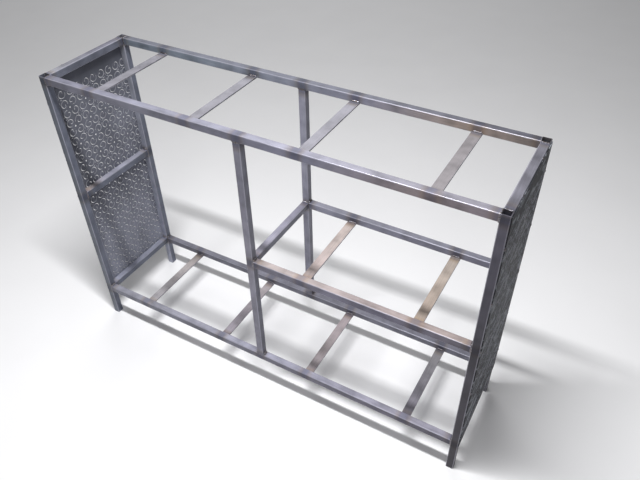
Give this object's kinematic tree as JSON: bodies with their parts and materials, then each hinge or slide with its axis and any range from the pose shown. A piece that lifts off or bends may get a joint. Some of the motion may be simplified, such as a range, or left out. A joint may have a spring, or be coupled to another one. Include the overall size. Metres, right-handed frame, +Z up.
{
  "type": "firewood log rack",
  "caption": "Welded square-tube log rack on short legs, with a tall bay, a half-width shelf, flat-bar slats and perforated end panels.",
  "frame": {"origin": "on the floor, under the middle of the rack", "axes": "+X along the rack to the side with the shelf, +Y to the rear, +Z up"},
  "size_m": [1.204, 0.3, 0.85],
  "materials": {
    "tube_steel": "bare hot-rolled steel tube with a thin grey-violet mill skin",
    "flat_bar_steel": "bare hot-rolled flat bar, warm grey",
    "sheet_steel": "bare cut steel sheet with a dark oxide skin",
    "weld_metal": "brushed weld beads"
  },
  "bodies": {
    "root": {"front_left_post": "tube_steel", "front_right_post": "tube_steel", "rear_left_post": "tube_steel", "rear_right_post": "tube_steel", "divider_front_post": "tube_steel", "divider_rear_post": "tube_steel", "top_front_rail": "tube_steel", "top_rear_rail": "tube_steel", "top_left_rail": "tube_steel", "top_right_rail": "tube_steel", "bottom_front_rail": "tube_steel", "bottom_rear_rail": "tube_steel", "bottom_left_rail": "tube_steel", "bottom_right_rail": "tube_steel", "shelf_front_rail": "tube_steel", "shelf_rear_rail": "tube_steel", "shelf_left_rail": "tube_steel", "shelf_right_rail": "tube_steel", "left_mid_rail": "tube_steel", "top_slat_1": "flat_bar_steel", "top_slat_2": "flat_bar_steel", "top_slat_3": "flat_bar_steel", "top_slat_4": "flat_bar_steel", "bottom_slat_1": "flat_bar_steel", "bottom_slat_2": "flat_bar_steel", "bottom_slat_3": "flat_bar_steel", "bottom_slat_4": "flat_bar_steel", "shelf_slat_1": "flat_bar_steel", "shelf_slat_2": "flat_bar_steel", "left_panel": "sheet_steel", "right_panel": "sheet_steel", "top_frame_welds": "weld_metal", "bottom_frame_welds": "weld_metal", "shelf_frame_welds": "weld_metal", "left_mid_rail_welds": "weld_metal", "divider_welds": "weld_metal", "top_slat_welds": "weld_metal", "bottom_slat_welds": "weld_metal", "shelf_slat_welds": "weld_metal", "left_panel_tacks": "weld_metal", "right_panel_tacks": "weld_metal"}
  },
  "joints": []
}
